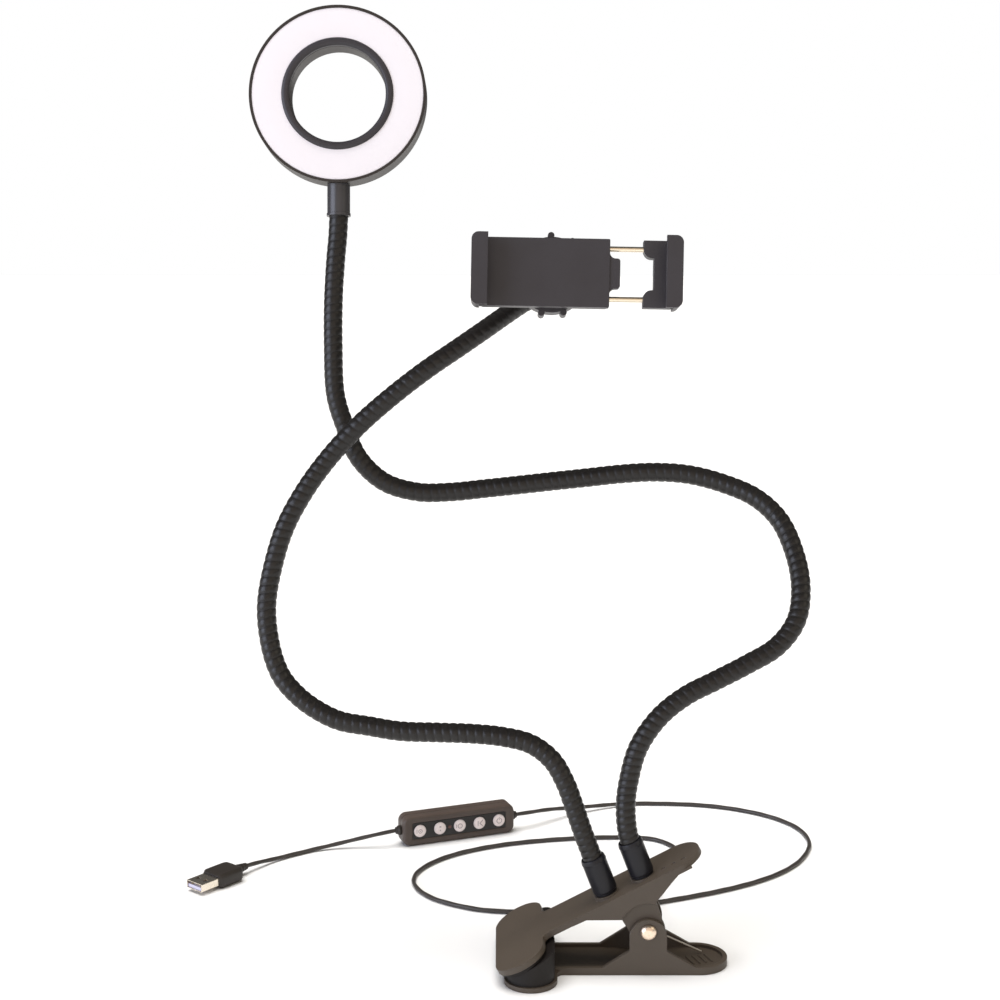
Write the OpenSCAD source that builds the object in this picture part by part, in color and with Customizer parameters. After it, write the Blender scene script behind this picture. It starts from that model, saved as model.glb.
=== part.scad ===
// Clip-on ring light with a phone holder: two goosenecks on one spring clamp,
// an in-line remote and a USB plug on the cord. Millimetres, +Z up.
// Origin: front tip of the plane where the two jaws meet. +X runs to the handles.

/* [Ring] */
// outside diameter of the ring
ring_od = 90; // [80:1:110]
// diameter of the hole through the ring
ring_bore = 49; // [40:1:55]
// inside diameter of the visible diffuser
diffuser_in = 57; // [52:1:64]
// front to back depth of the ring
ring_depth = 15; // [12:0.5:20]
// backward lean of the ring and of the phone holder
face_lean = 10; // [0:1:20]

/* [Goosenecks] */
// gooseneck diameter
neck_d = 9.7; // [8:0.1:12]
// sleeve diameter at the clamp and the ring
sleeve_d = 12; // [11:0.1:14]

/* [Clamp] */
// angle between the closed levers
lever_tilt = 28; // [20:1:35]
// width of the upper lever
upper_w = 26.4; // [24:0.2:30]
// width of the lower lever
lower_w = 29; // [27:0.2:34]
// width across a jaw
jaw_w = 68; // [50:1:76]
// length of a jaw along its lever
jaw_l = 25.4; // [20:0.2:30]
// plate thickness of the levers
plate_t = 2.8; // [2:0.1:3.5]

/* [Phone holder] */
// height of the back plate
plate_h = 32.6; // [28:0.2:40]
// free length of the guide rods
rod_gap = 16.1; // [10:0.1:20]
// depth of the pocket for the phone
pocket = 9.5; // [8:0.5:14]

/* [Remote] */
// length of the remote
remote_l = 68; // [60:1:76]
// height of the remote
remote_h = 17.5; // [15:0.5:20]
// thickness of the remote
remote_t = 11; // [9:0.5:14]
// diameter of a button
button_d = 7.1; // [6:0.1:8]

/* [Cord] */
// cord diameter
cord_d = 2.4; // [2:0.1:3.5]

/* [Hidden] */
$fn = 64;

floor_z = -4;                        // surface that the clamp, remote and cord lie on
pivot = [70.9, 0, 17.9];
pivot_l = [71, -17.6];               // the same pivot seen along and across the upper lever
rn = neck_d / 2;
face = [0, cos(face_lean), -sin(face_lean)];   // backward normal of ring and holder
ring_c = [-82.5, 109, 415];
holder_c = [24.9, 37.2, 328.2];      // front of the plate on the ball's axis
ball_y = 17;
ball_c = holder_c + ball_y * face;
stud_dir = [-0.2, 0.9, -0.39];       // from the ball towards the gooseneck
sleeve_lean = 21;
sleeve_dir = [-sin(sleeve_lean), 0, cos(sleeve_lean)];
light_base = [69, -3, 41.5];
phone_base = [51.5, -3, 32.6];
gland_c = [71, 0, 34.5];
remote_c = [-23.3, 163.3, floor_z];
remote_yaw = 21;
plug_c = [-155.9, 94.4, 0];
plug_yaw = 230;

// light gooseneck, from the clamp sleeve to the ring sleeve
light_route = [[65, -3, 52], [61.3, -3, 63], [60.2, -1, 75], [61.6, 2, 87], [66.2, 5, 103],
    [76, 8, 117], [89, 11, 127], [104, 14, 134], [119, 17, 141], [134, 21, 149],
    [144, 26, 161], [147, 34, 176], [145, 44, 191], [139, 54, 205], [128, 62, 215],
    [113, 68, 221], [96, 72, 225], [79, 74, 226], [62, 75, 225], [45, 76, 223],
    [28, 77, 221], [10, 77, 219], [-7, 78, 217], [-25, 79, 215], [-42, 79, 215],
    [-59, 80, 220], [-72, 82, 232], [-79, 84, 248], [-84, 87, 265], [-85, 91, 288],
    [-85, 96, 311], [-84, 101, 331], [-83, 104, 343], [-82.5, 106, 354],
    [-82.5, 107.2, 361]];
light_hinges = [3, 11, 27, 31];

// phone gooseneck, from the clamp sleeve to the ball joint's sleeve
phone_route = [[47.5, -3, 43], [43.3, -3, 54], [39.2, -2, 65], [35.4, 0, 76], [31.2, 2, 87],
    [25, 5, 97], [15, 8, 104], [2, 10, 107], [-13, 12, 108], [-30, 14, 108],
    [-48, 16, 108], [-64, 18, 110], [-78, 20, 112], [-90, 23, 117], [-100, 26, 124],
    [-108, 30, 133], [-113, 34, 147], [-115, 39, 165], [-112, 44, 184], [-106, 48, 203],
    [-96, 52, 221], [-84, 55, 237], [-70, 56, 252], [-54, 57, 266], [-37, 59, 279],
    [-21, 65, 289.5], [-8, 71, 298], [2, 78, 304.5], [10, 83.5, 309.5], [16.5, 85, 313.3],
    [19.8, 80.5, 315.6], [20.8, 73.5, 317.2], [21.8, 67.6, 319.4]];
phone_hinges = [3, 17];

// cord, from the clamp's gland to the remote, then from the remote to the plug
cord_route = [[71, 22.3, 34.4], [73, 38, 29], [76, 56, 19], [81, 75, 7], [86, 95, -1],
    [93, 113, -2.5], [99, 127, -2.75], [101.5, 141, -2.75], [97, 153, -2.75],
    [87, 162, -2.75], [66, 164.5, -2.75], [35, 161.5, -2.75], [5, 154, -2.75],
    [-18, 143, -2.75], [-34, 130, -2.75], [-44, 115, -2.75], [-47, 101, -2.75],
    [-44, 88, -2.75], [-36, 76, -2.75], [-24, 67, -2.75], [-8, 60, -2.75],
    [13, 58, -2.75], [42, 61, -2.75], [73, 67, -2.75], [102, 78, -2.75],
    [128, 91, -2.75], [148, 105, -2.75], [163, 121, -2.75], [173, 139, -2.75],
    [178, 158, -2.75], [175, 179, -2.75], [163, 197, -2.75], [145, 210, -2.75],
    [124, 218, -2.75], [100, 221, -2.75], [76, 220, -2.5], [50, 209, -0.6], [30, 195, 3],
    [18.2, 185.6, 4.7], [9.7, 181.9, 4.75]];
plug_route = [[-60.2, 155, 4.8], [-68, 152.5, 4], [-80, 151.5, 1.5], [-92, 150, -1],
    [-104, 146, -2.5], [-115, 139, -2.75], [-126, 130, -2.3], [-134, 121, -0.9],
    [-139.6, 113.9, 0]];
lead_route = [[72.3, -3, 32.6], [72.6, -2.2, 30.6], [72.2, 1, 30.4], [71.3, 4.4, 33.4],
    [71, 8.7, 34.5]];

// ---------- paths and tubes ----------
function unit(v) = v / norm(v);
function pick(p, i) = p[max(0, min(len(p) - 1, i))];
function bend(a, b, c, d, t) = 0.5 * (2 * b + (c - a) * t + (2 * a - 5 * b + 4 * c - d) * t * t
    + (3 * b - a - 3 * c + d) * t * t * t);
function on_route(p, u) = let (i = min(floor(u), len(p) - 2))
    bend(pick(p, i - 1), p[i], p[i + 1], pick(p, i + 2), u - i);
function stretch(p, u0, u1, n) = [for (k = [0:n]) on_route(p, u0 + (u1 - u0) * k / n)];
function heading(p, i) = unit(pick(p, i + 1) - pick(p, i - 1));

module tube(p, r, sides, ref) {
    m = len(p);
    side = [for (i = [0:m - 1]) unit(cross(heading(p, i), ref))];
    top = [for (i = [0:m - 1]) cross(side[i], heading(p, i))];
    pts = [for (i = [0:m - 1]) for (k = [0:sides - 1])
        p[i] + r * (cos(360 * k / sides) * side[i] + sin(360 * k / sides) * top[i])];
    skin = [for (i = [0:m - 2]) for (k = [0:sides - 1]) for (h = [0:1])
        let (a = i * sides + k, b = i * sides + (k + 1) % sides)
        h == 0 ? [a, b, b + sides] : [a, b + sides, a + sides]];
    polyhedron(concat(pts), concat(skin,
        [[for (k = [sides - 1:-1:0]) k]],
        [[for (k = [0:sides - 1]) (m - 1) * sides + k]]), convexity = 6);
}

module aim(at, dir) {
    translate(at) rotate([0, acos(dir[2] / norm(dir)), atan2(dir[1], dir[0])]) children();
}

// one rigid length of gooseneck: a dish at its lower end, a ball at its upper end
module neck_piece(route, lo, hi, n, dish, ball) {
    d0 = dish ? 3.4 / norm(route[lo + 1] - route[lo]) : 0;
    d1 = ball ? 4.4 / norm(route[hi] - route[hi - 1]) : 0;
    p = stretch(route, lo + d0, hi - d1, n);
    difference() {
        tube(p, rn, 12, [0, 1, 0]);
        if (dish) translate(route[lo]) sphere(rn + 0.35);
    }
    if (ball) {
        q = p[len(p) - 1];
        aim(q - 2 * unit(route[hi] - q), route[hi] - q)
            cylinder(r = rn - 1.2, h = norm(route[hi] - q) + 2);
        translate(route[hi]) sphere(rn);
    }
}

// ---------- frames ----------
module ring_frame() { translate(ring_c) rotate([90 - face_lean, 0, 0]) children(); }
module holder_frame() { translate(holder_c) rotate([-face_lean, 0, 0]) rotate([0, 1.1, 0]) children(); }
module lever_frame() { rotate([0, -lever_tilt, 0]) children(); }
module remote_frame() { translate(remote_c) rotate([0, 0, remote_yaw]) children(); }
module plug_frame() { translate(plug_c) rotate([0, 0, plug_yaw]) children(); }
module facing_y(y) { translate([0, y, 0]) rotate([-90, 0, 0]) children(); }

module annulus(ro, ri, h) {
    difference() {
        cylinder(r = ro, h = h);
        translate([0, 0, -1]) cylinder(r = ri, h = h + 2);
    }
}
// flat slab in the XZ plane with round corners, from y0 towards +Y
module slab(x0, x1, z0, z1, y0, t, r) {
    translate([x0, y0 + t, z0]) rotate([90, 0, 0]) linear_extrude(t) {
        translate([r, 0]) square([x1 - x0 - 2 * r, z1 - z0]);
        translate([0, r]) square([x1 - x0, z1 - z0 - 2 * r]);
        for (x = [r, x1 - x0 - r], z = [r, z1 - z0 - r]) translate([x, z]) circle(r);
    }
}

// ---------- ring head ----------
ro = ring_od / 2;
ri = ring_bore / 2;
dz = ring_depth;
screw_r = 35;
post_angles = [45, 135, 225, 315];

module ring_housing() color([0.12, 0.11, 0.11]) ring_frame() {
    difference() {
        union() {
            translate([0, 0, -dz]) annulus(ro, ri, 1.8);
            translate([0, 0, -dz]) annulus(ro, ro - 1.3, dz);
            translate([0, 0, -dz]) annulus(ri + 1.3, ri, dz - 2.4);
            translate([0, 0, -3.2]) annulus(ro - 1.2, ro - 2.8, 0.95);
            for (a = post_angles) rotate(a) translate([screw_r, 0, -dz]) cylinder(r = 3.4, h = 4.4);
        }
        for (a = post_angles) rotate(a) translate([screw_r, 0, -dz - 1]) {
            cylinder(r = 1.1, h = 8);
            cylinder(r = 2.5, h = 2.4);
        }
        translate([0, -ro + 3, -dz / 2]) rotate([90, 0, 0]) cylinder(r = 4.05, h = 5);
    }
}
module ring_bezel() color([0.14, 0.13, 0.14]) ring_frame() {
    w = diffuser_in / 2 - ri;
    translate([0, 0, -2.35]) annulus(ri + 2.6, ri + 1.35, 1.2);
    translate([0, 0, -1.2]) rotate_extrude()
        translate([ri, 0]) polygon([[0, -1.15], [2.6, -1.15], [2.6, 0.95], [w, 0.95], [w, 1.3],
            [w - 0.9, 2.2], [1.2, 2.2], [0, 1.2]]);
}
module diffuser() color([0.97, 0.94, 0.96]) ring_frame()
    translate([0, 0, -2.2]) annulus(ro - 1.4, ri + 2.7, 1.9);
module led_board() color([0.85, 0.85, 0.82]) ring_frame() difference() {
    translate([0, 0, -dz + 4.45]) annulus(ro - 4, ri + 2.8, 1.2);
    for (a = post_angles) rotate(a) translate([screw_r, 0, -dz]) cylinder(r = 1.1, h = 8);
}
module led_chips() color([0.95, 0.85, 0.45]) ring_frame() for (k = [0:23])
    rotate(15 * k + 7.5) translate([(k % 2) * 5 + 31, -1.4, -dz + 5.7]) cube([3.5, 2.8, 0.8]);
module ring_screws() color([0.6, 0.6, 0.62]) ring_frame() for (a = post_angles)
    rotate(a) translate([screw_r, 0, 0]) {
        translate([0, 0, -dz + 0.2]) cylinder(r = 2.3, h = 1.2);
        translate([0, 0, -dz + 1]) cylinder(r = 1.05, h = 5);
    }
module ring_sleeve() color([0.13, 0.13, 0.15]) ring_frame() translate([0, 0, -dz / 2]) {
    difference() {
        rotate([90, 0, 0]) {
            translate([0, 0, ro - 1]) cylinder(d = sleeve_d - 0.4, h = 17.2);
            translate([0, 0, ro + 14.8]) cylinder(d = sleeve_d + 0.2, h = 1.4);
        }
        translate([0, 0, -10]) cylinder(r = ro + 0.03, h = 20, $fn = 128);
        rotate([90, 0, 0]) translate([0, 0, ro + 8.2]) cylinder(r = rn + 0.25, h = 9);
    }
    rotate([90, 0, 0]) translate([0, 0, ro - 3]) annulus(4, 2, 6);
}

// ---------- light gooseneck ----------
module light_neck_head() color([0.08, 0.08, 0.1])
    neck_piece(light_route, light_hinges[3], 34, 6, true, false);
module light_neck_upper() color([0.08, 0.08, 0.1])
    neck_piece(light_route, light_hinges[2], light_hinges[3], 8, true, true);
module light_neck_middle() color([0.08, 0.08, 0.1])
    neck_piece(light_route, light_hinges[1], light_hinges[2], 34, true, true);
module light_neck_lower() color([0.08, 0.08, 0.1])
    neck_piece(light_route, light_hinges[0], light_hinges[1], 18, true, true);
module light_neck_root() color([0.08, 0.08, 0.1])
    neck_piece(light_route, 0, light_hinges[0], 5, false, true);

module base_sleeve(at, len) aim(at, sleeve_dir) {
    difference() {
        union() {
            translate([0, 0, 1]) cylinder(d = sleeve_d - 0.8, h = 1.5);
            translate([0, 0, 2.4]) cylinder(d = sleeve_d, h = len - 4.8);
            translate([0, 0, len - 2.5]) cylinder(d1 = sleeve_d + 0.5, d2 = sleeve_d - 0.6, h = 2.5);
        }
        translate([0, 0, 10]) cylinder(r = rn + 0.25, h = len);
    }
    translate([0, 0, -9.5]) annulus(3, 1.4, 12);
}
module base_nut(at) aim(at, sleeve_dir) translate([0, 0, -8]) difference() {
    cylinder(r = 5.4, h = 3.3, $fn = 6);
    translate([0, 0, -1]) cylinder(r = 3.03, h = 6);
}
module light_sleeve() color([0.1, 0.1, 0.13]) base_sleeve(light_base, 19.5);
module light_nut() color([0.75, 0.75, 0.76]) base_nut(light_base);
module phone_sleeve() color([0.1, 0.1, 0.13]) base_sleeve(phone_base, 20);
module phone_nut() color([0.75, 0.75, 0.76]) base_nut(phone_base);

// ---------- phone gooseneck and ball joint ----------
module phone_neck_root() color([0.08, 0.08, 0.1])
    neck_piece(phone_route, 0, phone_hinges[0], 5, false, true);
module phone_neck_lower() color([0.08, 0.08, 0.1])
    neck_piece(phone_route, phone_hinges[0], phone_hinges[1], 28, true, true);
module phone_neck_upper() color([0.08, 0.08, 0.1])
    neck_piece(phone_route, phone_hinges[1], 32, 31, true, false);
module ball_sleeve() color([0.1, 0.1, 0.12]) aim(ball_c, stud_dir) difference() {
    translate([0, 0, 10.5]) cylinder(d = sleeve_d, h = 10.5);
    translate([0, 0, 9]) cylinder(r = 3.02, h = 8);
    translate([0, 0, 14.6]) cylinder(r = rn + 0.3, h = 8);
}
module ball_stud() color([0.15, 0.15, 0.16]) {
    translate(ball_c) sphere(7.5);
    aim(ball_c, stud_dir) cylinder(r = 3, h = 14.4);
}
module ball_bush() color([0.2, 0.2, 0.21]) holder_frame() difference() {
    facing_y(9.9) cylinder(r = 9.3, h = 9.4);
    translate([0, ball_y, 0]) sphere(7.55);
}
module lock_nut() color([0.15, 0.14, 0.15]) holder_frame() difference() {
    facing_y(9) union() {
        cylinder(r = 18.2, h = 12.5);
        for (k = [0:10]) rotate(360 / 11 * k - 92) translate([18.9, 0, 0]) cylinder(r = 1.6, h = 12.5);
    }
    facing_y(8) cylinder(r = 11.47, h = 11.6);
    facing_y(8) cylinder(r = 8.4, h = 16);
}

// ---------- phone holder ----------
hx0 = -38.5;                         // outside of the fixed jaw
px1 = 27.3;                          // end of the plate
rod_z = 12;
rod_y = 3.6;
lip = 7.8;

// part of a phone jaw: round corners on its outer side x0, square ones at x1
module hook_slab(x0, x1, y0, t) {
    d = x1 > x0 ? 1 : -1;
    translate([0, y0 + t, 0]) rotate([90, 0, 0]) linear_extrude(t) {
        translate([min(x0 + d * 3.4, x1), -17]) square([abs(x1 - x0) - 3.4, 34]);
        translate([min(x0, x0 + d * 3.7), -13.6]) square([3.7, 27.2]);
        for (s = [-1, 1]) translate([x0 + d * 3.4, s * 13.6]) difference() {
            circle(3.4);
            translate([d > 0 ? 0.4 : -6.4, -4]) square([6, 8]);
        }
    }
}
module holder_body() color([0.15, 0.14, 0.15]) holder_frame() difference() {
    union() {
        slab(hx0 + 2.5, px1, -plate_h / 2, plate_h / 2, 0, 5.5, 0.6);
        slab(px1 - 2, px1 + 5, -7.2, 7.2, 0.6, 4.9, 1.4);
        for (s = [-1, 1]) translate([0, 5.5, 0]) rotate([90, 0, 0]) linear_extrude(4.9) difference() {
            translate([px1 - 1, s > 0 ? 7 : -10]) square([3.8, 3]);
            translate([px1 + 2.8, s * 10]) circle(2.8);
        }
        hook_slab(hx0, hx0 + 3.8, -pocket - 2.5, pocket + 8);
        hook_slab(hx0, hx0 + lip, -pocket - 2.5, 2.5);
    }
    for (s = [-1, 1]) translate([-30, rod_y, s * rod_z]) rotate([0, 90, 0])
        cylinder(r = 1.36, h = 60);
    for (x = [-30, 20], z = [-6, 6]) translate([x, 0, z]) facing_y(2.5) cylinder(r = 1.1, h = 4);
}
module holder_back() color([0.13, 0.13, 0.14]) holder_frame() difference() {
    union() {
        slab(hx0 + 3.9, px1, -plate_h / 2, plate_h / 2, 5.55, 2.5, 2);
        facing_y(8) cylinder(r = 11.4, h = 11);
    }
    facing_y(9.5) cylinder(r = 9.36, h = 12);
    for (x = [-30, 20], z = [-6, 6]) translate([x, 0, z]) {
        facing_y(5) cylinder(r = 1.2, h = 4);
        facing_y(7) cylinder(r = 2.3, h = 2);
    }
}
module holder_screws() color([0.55, 0.55, 0.57]) holder_frame()
    for (x = [-30, 20], z = [-6, 6]) translate([x, 0, z]) {
        facing_y(7.05) cylinder(r = 2.1, h = 0.9);
        facing_y(2.8) cylinder(r = 1.05, h = 4.8);
    }
module fixed_pad() color([0.1, 0.1, 0.1]) holder_frame()
    slab(hx0 + 3.85, hx0 + 5, -15, 15, -pocket + 0.1, pocket - 0.2, 0.4);

jx = px1 + rod_gap;                  // near end of the sliding jaw
module sliding_jaw() color([0.14, 0.14, 0.15]) holder_frame() difference() {
    union() {
        slab(jx + 5, jx + 14, -16, 16, 0.5, 7, 0.6);
        for (s = [-1, 1]) translate([jx, 7.5, 0]) rotate([90, 0, 0]) linear_extrude(7) {
            translate([0, s > 0 ? 11.6 : -16]) square([8, 4.4]);
            translate([4, s > 0 ? 7.6 : -16]) square([4, 8.4]);
            translate([4, s * 11.6]) circle(4);
        }
        hook_slab(jx + 17.7, jx + 13.9, -pocket - 2.5, pocket + 10);
        hook_slab(jx + 17.7, jx + 17.7 - lip, -pocket - 2.5, 2.5);
    }
    for (s = [-1, 1]) translate([jx - 1, rod_y, s * rod_z]) rotate([0, 90, 0])
        cylinder(r = 1.32, h = 13);
}
module guide_rods() color([0.83, 0.74, 0.6]) holder_frame() for (s = [-1, 1])
    translate([-10, rod_y, s * rod_z]) rotate([0, 90, 0]) cylinder(r = 1.3, h = jx + 21.8);
module sliding_pad() color([0.1, 0.1, 0.1]) holder_frame()
    slab(jx + 12.7, jx + 13.85, -15, 15, -pocket + 0.1, pocket + 0.3, 0.4);

// ---------- clamp ----------
up = upper_w / 2;
lo = lower_w / 2;
jr = jaw_l / 2;

module jaw_plan(tip, inset) {
    for (s = [-1, 1]) translate([tip + jr, s * (jaw_w / 2 - jr)]) circle(jr - inset);
    translate([tip + inset, -jaw_w / 2 + jr]) square([jaw_l - 2 * inset, jaw_w - jaw_l]);
}
module neck_fillets(x, w) for (s = [-1, 1]) translate([x, s * w]) difference() {
    translate([-1, s > 0 ? -1 : -3]) square([4, 4]);
    translate([3, s * 3]) circle(3);
}
module wall_plan() {
    polygon([[40, 2], [40, 1.5], [47.4, 1.2], [62.3, -6.6], [62.9, -17.6], [71, -17.6],
        [79.2, -16.8], [81, -6.3], [86.3, -3.9], [92.2, -1], [96.7, 0.9], [104, 1], [104, 2]]);
    translate(pivot_l) circle(8.2);
}
module upper_lever() color([0.3, 0.28, 0.25]) difference() {
    union() {
        lever_frame() {
            translate([0, 0, 1.6]) linear_extrude(plate_t) {
                jaw_plan(0, 0);
                neck_fillets(jaw_l, up);
                translate([jr, -up]) square([97.4 - jr, 2 * up]);
                translate([97.4, 0]) circle(up);
            }
            for (y = [up, 3.6 - up]) translate([0, y, 0]) rotate([90, 0, 0])
                linear_extrude(3.6) wall_plan();
        }
        for (b = [light_base, phone_base]) aim(b, sleeve_dir) translate([0, 0, -4.6])
            cylinder(r = 6.3, h = 5.5);
    }
    for (b = [light_base, phone_base]) aim(b, sleeve_dir) translate([0, 0, -12])
        cylinder(r = 3.05, h = 14);
    translate(pivot) facing_y(-20) cylinder(r = 2.52, h = 40);
    for (y = [12, -22]) translate(pivot) facing_y(y) cylinder(r = 13.8, h = 10);
    translate(gland_c) facing_y(5) cylinder(r = 2.95, h = 12);
    lever_frame() for (k = [0:2]) translate([91 + 5.3 * k, -6, 1.6 + plate_t - 0.4])
        cylinder(r = 1.1, h = 1, $fn = 24);
}
module upper_pad() color([0.06, 0.06, 0.06]) lever_frame()
    translate([0, 0, 0.15]) linear_extrude(1.45) jaw_plan(0, 0.8);

module lower_side() {
    polygon([[26, -5], [26, -0.2], [49.2, -0.2], [62, 8.2], [62, 15], [79.8, 15], [79.8, 8],
        [93.7, -0.2], [112, -0.2], [112, -5]]);
    translate([70.9, 15.1]) circle(8.9);
}
module lower_plan(w) {
    translate([20, -w]) square([76, 2 * w]);
    translate([96, 0]) circle(w);
}
module lower_lever() color([0.29, 0.26, 0.23]) difference() {
    union() {
        intersection() {
            translate([0, 0, floor_z]) linear_extrude(40) difference() {
                lower_plan(lo);
                lower_plan(lo - 2.2);
            }
            translate([0, 20, 0]) rotate([90, 0, 0]) linear_extrude(40) lower_side();
        }
        translate([0, 0, floor_z]) linear_extrude(2.3) {
            lower_plan(lo - 0.5);
            jaw_plan(1.9, 0);
            neck_fillets(jaw_l + 1.9, lo);
        }
        for (k = [0:3]) translate([91 + 3.4 * k, 0, floor_z + 2.2]) rotate([0, 0, 20])
            translate([-0.4, -8 + k, 0]) cube([0.8, 9, 0.6]);
    }
    translate(pivot) facing_y(-20) cylinder(r = 2.56, h = 40);
}
module lower_pad() color([0.05, 0.05, 0.05]) difference() {
    translate([0, 0, floor_z + 2.3]) linear_extrude(18) jaw_plan(1.9, 1.3);
    lever_frame() translate([-20, -50, -0.15]) cube([80, 100, 40]);
}
module pivot_rivet() color([0.86, 0.72, 0.6]) translate(pivot) {
    facing_y(-lo - 0.3) cylinder(r = 2.5, h = lower_w + 0.6);
    for (s = [-1, 1]) rotate([s * -90, 0, 0]) translate([0, 0, lo + 0.28]) rotate_extrude()
        polygon([[0, 0], [3.85, 0], [3.6, 0.9], [2.7, 1.6], [1.4, 1.95], [0, 2.05]]);
}
coil = [for (k = [0:52]) let (a = 143 + 29.6 * k)
    pivot + [5.2 * cos(a), -5.5 + 0.17 * k, 5.2 * sin(a)]];
module torsion_spring() color([0.7, 0.68, 0.64])
    tube(concat([pivot + [15.3, -5.5, 28.7]], coil), 0.8, 6, [0, 1, 0]);
module spring_leg() color([0.75, 0.72, 0.68]) aim([68.7, 5.3, 13.2], [29.9, 0, -13.9])
    cylinder(r = 0.8, h = 33, $fn = 24);
module cord_gland() color([0.08, 0.08, 0.08]) translate(gland_c) {
    facing_y(9) cylinder(r = 2.9, h = 4.5);
    facing_y(13.25) cylinder(r = 3.9, h = 1.4);
    facing_y(14.6) cylinder(r1 = 2.9, r2 = 1.9, h = 7.4);
}
module lamp_lead() color([0.1, 0.1, 0.1]) tube(stretch(lead_route, 0, 4, 8), cord_d / 2, 8, [1, 0, 0]);

// ---------- remote ----------
button_x = [for (k = [-2:2]) 12.1 * k];
module remote_outline(y0, t, inset, r)
    slab(-remote_l / 2 + inset, remote_l / 2 - inset, inset, remote_h - inset, y0, t, r);
module remote_front() color([0.24, 0.2, 0.17]) remote_frame() difference() {
    union() {
        remote_outline(0.7, remote_t / 2 - 0.7, 0, 4.4);
        remote_outline(0, 1, 0.7, 3.7);
    }
    slab(-28.5, 28.5, 3.9, 13.6, -1, 1.8, 0.8);
    slab(-31.4, 31.4, 2, remote_h - 2, 2.2, 9, 2.5);
    for (x = button_x) translate([x, 0, 8.75]) facing_y(-1) cylinder(r = button_d / 2 + 0.07, h = 6);
    translate([-6.05, 0, 8.75]) facing_y(-1) cylinder(r = 1.05, h = 6);
    for (s = [-1, 1]) translate([s * 32, remote_t / 2, 8.75]) rotate([0, 90, 0])
        translate([0, 0, -3]) cylinder(r = 2.02, h = 6);
}
module remote_back() color([0.22, 0.19, 0.16]) remote_frame() difference() {
    union() {
        remote_outline(remote_t / 2 + 0.04, remote_t / 2 - 0.74, 0, 4.4);
        remote_outline(remote_t - 1.2, 1.2, 0.7, 3.7);
    }
    slab(-31.4, 31.4, 2, remote_h - 2, 5, 4, 2.5);
    for (x = [-24, 24]) translate([x, 0, 8.75]) {
        facing_y(8) cylinder(r = 1.15, h = 4);
        facing_y(10) cylinder(r = 2.2, h = 2);
    }
    for (s = [-1, 1]) translate([s * 32, remote_t / 2, 8.75]) rotate([0, 90, 0])
        translate([0, 0, -3]) cylinder(r = 2.02, h = 6);
}
module remote_panel() color([0.08, 0.07, 0.07]) remote_frame() difference() {
    slab(-28.4, 28.4, 4, 13.5, 0.15, 0.63, 0.7);
    for (x = button_x) translate([x, 0, 8.75]) facing_y(-1) cylinder(r = button_d / 2 + 0.07, h = 6);
    translate([-6.05, 0, 8.75]) facing_y(-1) cylinder(r = 1.05, h = 6);
}
module button(k) color([0.9, 0.86, 0.86]) remote_frame() translate([button_x[k], 0, 8.75]) {
    facing_y(-0.9) cylinder(r1 = button_d / 2 - 0.4, r2 = button_d / 2, h = 0.4);
    facing_y(-0.5) cylinder(r = button_d / 2, h = 3.2);
    facing_y(2.5) cylinder(r = button_d / 2 + 0.9, h = 0.8);
}
module button_1() button(0);
module button_2() button(1);
module button_3() button(2);
module button_4() button(3);
module button_5() button(4);
module remote_board() color([0.1, 0.3, 0.15]) remote_frame() {
    slab(-29, 29, 2.6, 14.9, 6.3, 1.2, 1);
    for (x = button_x) slab(x - 2.6, x + 2.6, 6.15, 11.35, 4.3, 2.1, 0.4);
    for (x = [-24, 24]) translate([x, 0, 8.75]) facing_y(7.4) cylinder(r = 1.9, h = 1.6);
}
module indicator() color([0.55, 0.3, 0.28]) remote_frame() translate([-6.05, 0, 8.75])
    facing_y(0) cylinder(r = 1, h = 6.3);
module remote_grommets() color([0.07, 0.07, 0.07]) remote_frame() for (s = [-1, 1])
    translate([s * 32.2, remote_t / 2, 8.75]) rotate([0, s * 90, 0]) {
        cylinder(r = 2, h = 3);
        translate([0, 0, 1.85]) cylinder(r = 2.8, h = 1.6);
        translate([0, 0, 3.4]) cylinder(r1 = 2.6, r2 = 1.9, h = 1.6);
    }
module remote_screws() color([0.5, 0.5, 0.5]) remote_frame()
    for (x = [-24, 24]) translate([x, 0, 8.75]) {
        facing_y(10.05) cylinder(r = 2.1, h = 0.8);
        facing_y(9.05) cylinder(r = 1.1, h = 1.4);
    }

// ---------- plug: +X of its frame points out of the socket end ----------
module bar(x0, x1, w, h, r) translate([x0, 0, 0]) rotate([90, 0, 90]) linear_extrude(x1 - x0) {
    square([w - 2 * r, h], center = true);
    square([w, h - 2 * r], center = true);
    for (a = [-1, 1], b = [-1, 1]) translate([a * (w / 2 - r), b * (h / 2 - r)]) circle(r);
}
module usb_overmould() color([0.16, 0.15, 0.15]) plug_frame() {
    difference() {
        union() {
            bar(-15.5, -0.8, 15.6, 8, 2.4);
            bar(-17, 0, 13.6, 6.6, 2);
        }
        bar(-6.05, 1, 12.05, 4.55, 0.5);
    }
    translate([-25, 0, 0]) rotate([0, 90, 0]) cylinder(r1 = 1.9, r2 = 2.9, h = 8.1);
}
module usb_shell() color([0.8, 0.72, 0.62]) plug_frame() difference() {
    bar(-6, 12, 12, 4.5, 0.5);
    bar(-5.6, 13, 11.3, 3.8, 0.3);
    for (y = [-2.9, 2.9]) translate([5.6, y - 1.1, -4]) cube([2.2, 2.2, 8]);
}
module usb_tongue() color([0.75, 0.74, 0.85]) plug_frame() {
    translate([-5.5, -5.5, -1.8]) cube([5.5, 11, 3.6]);
    translate([-1, -5.5, -1.8]) cube([12.4, 11, 1.8]);
}
module usb_contacts() color([0.85, 0.7, 0.35]) plug_frame() for (y = [-3.5, -1, 1, 3.5])
    translate([2, y - 0.5, 0.02]) cube([abs(y) > 2 ? 8.4 : 7.4, 1, 0.2]);

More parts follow.
